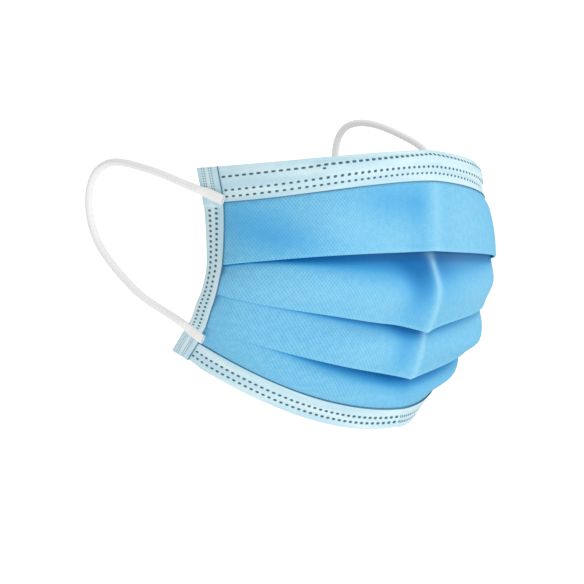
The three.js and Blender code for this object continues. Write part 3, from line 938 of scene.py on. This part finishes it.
def loop_rings(centre, at, press):
    """The rings of points round the elastic, and the place of each in the knit."""
    outward = np.sign(centre[0, 0])
    tangent = np.gradient(centre, axis=0)
    tangent /= np.linalg.norm(tangent, axis=1, keepdims=True)
    out = np.array([outward, 0, 0]) - tangent * (tangent[:, :1] * outward)
    out /= np.linalg.norm(out, axis=1, keepdims=True)
    wide = np.cross(tangent, out)
    turn = np.linspace(0, 2 * math.pi, LOOP_SIDES, endpoint=False)[None, :]
    half_wide = mix(CORD_DIAMETER / 2, PRESSED_END["half_width"], press)[:, None]
    half_thick = mix(CORD_DIAMETER / 2, PRESSED_END["half_thick"], press)[:, None]
    swing = KNIT_RIPPLE["swing"] * np.sin(WALES * turn)
    wave = np.sin(at[:, None] / MM * 2 * math.pi / KNIT_RIPPLE["pitch"] + swing)
    ripple = 1 + KNIT_RIPPLE["height"] * wave * (1 - press[:, None])
    rings = centre[:, None] + (wide[:, None] * (np.cos(turn) * half_wide * ripple)[..., None]
                               + out[:, None] * (np.sin(turn) * half_thick * ripple)[..., None])
    knit = np.stack(np.broadcast_arrays(at[:, None] / MM, turn / (2 * math.pi), 0.0), axis=-1)
    return rings, knit


def ring_faces(rings):
    """The faces of a closed tube through these rings, turned outwards."""
    i, j = np.meshgrid(np.arange(LOOP_RINGS - 1), np.arange(LOOP_SIDES), indexing="ij")
    a, b = i * LOOP_SIDES + j, i * LOOP_SIDES + (j + 1) % LOOP_SIDES
    sides = np.stack([a, a + LOOP_SIDES, b + LOOP_SIDES, b], axis=-1).reshape(-1, 4)
    first_cap = np.arange(LOOP_SIDES)[::-1]
    last_cap = np.arange(LOOP_SIDES) + (LOOP_RINGS - 1) * LOOP_SIDES
    if volume(rings, sides) < 0:
        sides, first_cap, last_cap = sides[:, ::-1], first_cap[::-1], last_cap[::-1]
    return np.array([*sides.tolist(), first_cap.tolist(), last_cap.tolist()], dtype=object)


def add_ear_loop(name, node, route, material):
    line = through(np.array(route)[:, None], ROUTE_STEPS)[:, 0]
    along = np.concatenate([[0], np.cumsum(np.linalg.norm(np.diff(line, axis=0), axis=1))])
    at = np.linspace(0, along[-1], LOOP_RINGS)
    centre = np.stack([np.interp(at, along, line[:, k]) for k in range(3)], axis=-1)
    from_end = np.minimum(at, along[-1] - at)
    press = 1 - smooth((from_end - PRESSED_END["length"]) / PRESSED_END["fade"])
    seat_ends(centre, from_end, at < along[-1] / 2)
    centre = smoothed(centre)
    rings, knit = loop_rings(centre, at, press)
    loop = add_mesh(name, rings, ring_faces(rings), [material], None, {"knit": knit})
    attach(loop, "root")
    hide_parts(node)
    return [form.nearest(route[end])[1] for end in (0, -1)]


# ---- the assembly ----------------------------------------------------------------------------------
add_camera()
elastic = elastic_knit()
right_ends = add_ear_loop("ear_loop_cord_right", "ear_loop_right", LOOP_RIGHT, elastic)
left_ends = add_ear_loop("ear_loop_cord_left", "ear_loop_left", LOOP_LEFT, elastic)
pale = pale_cloth()
mask_cloth = add_body([blue_cloth(), inner_cloth()])
trim = [
    add_top_hem(pale),
    add_bottom_hem(pale),
    add_binding("binding_tape_right", "side_binding_right", -1, right_ends, pale),
    add_binding("binding_tape_left", "side_binding_left", 1, left_ends, pale),
]
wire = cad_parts["nose_wire"]
wire.data.materials.clear()
wire.data.materials.append(wire_coat())


# ---- the studio ------------------------------------------------------------------------------------
STUDIO = {"wall_glow": 0.5, "sky": 0.66}
LIGHTS = [
    # name, place, size, power
    ("top_light", (0.10, -0.50, 0.85), 0.35, 2.8),
    ("bounce_light", (-0.45, -0.45, -0.55), 0.5, 2.9),
    ("side_light", (0.75, -0.75, 0.10), 0.30, 2.3),
]
LIGHT_AIM = Vector((0, 0.03, -0.04))
FLOOR_DROP = 0.25
BOWL = {"floor_radius": 1.2, "curve": 0.8, "wall": 0.9, "sides": 96}


def add_bowl():
    """A plain pale floor that curves up all round, open at the top."""
    floor = float(cad_low.z) - FLOOR_DROP
    corner = np.linspace(0, math.pi / 2, 17)
    radii = [0.0, BOWL["floor_radius"] / 2, *(BOWL["floor_radius"] + BOWL["curve"] * np.sin(corner))]
    heights = [0.0, 0.0, *(BOWL["curve"] * (1 - np.cos(corner)))]
    radii.append(radii[-1])
    heights.append(heights[-1] + BOWL["wall"])
    angles = np.linspace(0, 2 * math.pi, BOWL["sides"], endpoint=False)
    points = [(0.0, 0.0, floor)]
    for radius, height in zip(radii[1:], heights[1:]):
        points += [(radius * math.cos(a), radius * math.sin(a), floor + height) for a in angles]
    count = BOWL["sides"]
    faces = [[0, 1 + i, 1 + (i + 1) % count] for i in range(count)]
    for ring in range(len(radii) - 2):
        start = 1 + ring * count
        for i in range(count):
            j = (i + 1) % count
            faces.append([start + i, start + count + i, start + count + j, start + j])
    material = bpy.data.materials.new("studio_white")
    material.use_nodes = True
    surface = material.node_tree.nodes["Principled BSDF"]
    surface.inputs["Base Color"].default_value = (0.9, 0.9, 0.9, 1)
    surface.inputs["Roughness"].default_value = 0.9
    surface.inputs["Emission Color"].default_value = (1, 1, 1, 1)
    surface.inputs["Emission Strength"].default_value = STUDIO["wall_glow"]
    bowl = add_mesh("studio_floor", np.array(points), np.array(faces, dtype=object), [material])
    bowl.visible_diffuse = False       # the sky lights the mask from all sides
    bowl.visible_glossy = False
    bowl.visible_shadow = False


def add_area(name, place, size, power):
    data = bpy.data.lights.new(name, "AREA")
    data.size = size
    data.energy = power
    light = bpy.data.objects.new(name, data)
    light.location = place
    light.rotation_euler = (LIGHT_AIM - Vector(place)).to_track_quat("-Z", "Y").to_euler()
    light.visible_camera = False
    bpy.context.scene.collection.objects.link(light)


def add_studio():
    world = bpy.data.worlds.new("studio")
    world.use_nodes = True
    world.node_tree.nodes["Background"].inputs["Color"].default_value = (1, 1, 1, 1)
    world.node_tree.nodes["Background"].inputs["Strength"].default_value = STUDIO["sky"]
    bpy.context.scene.world = world
    bpy.context.scene.view_settings.view_transform = "Standard"
    add_bowl()
    for light in LIGHTS:
        add_area(*light)


add_studio()
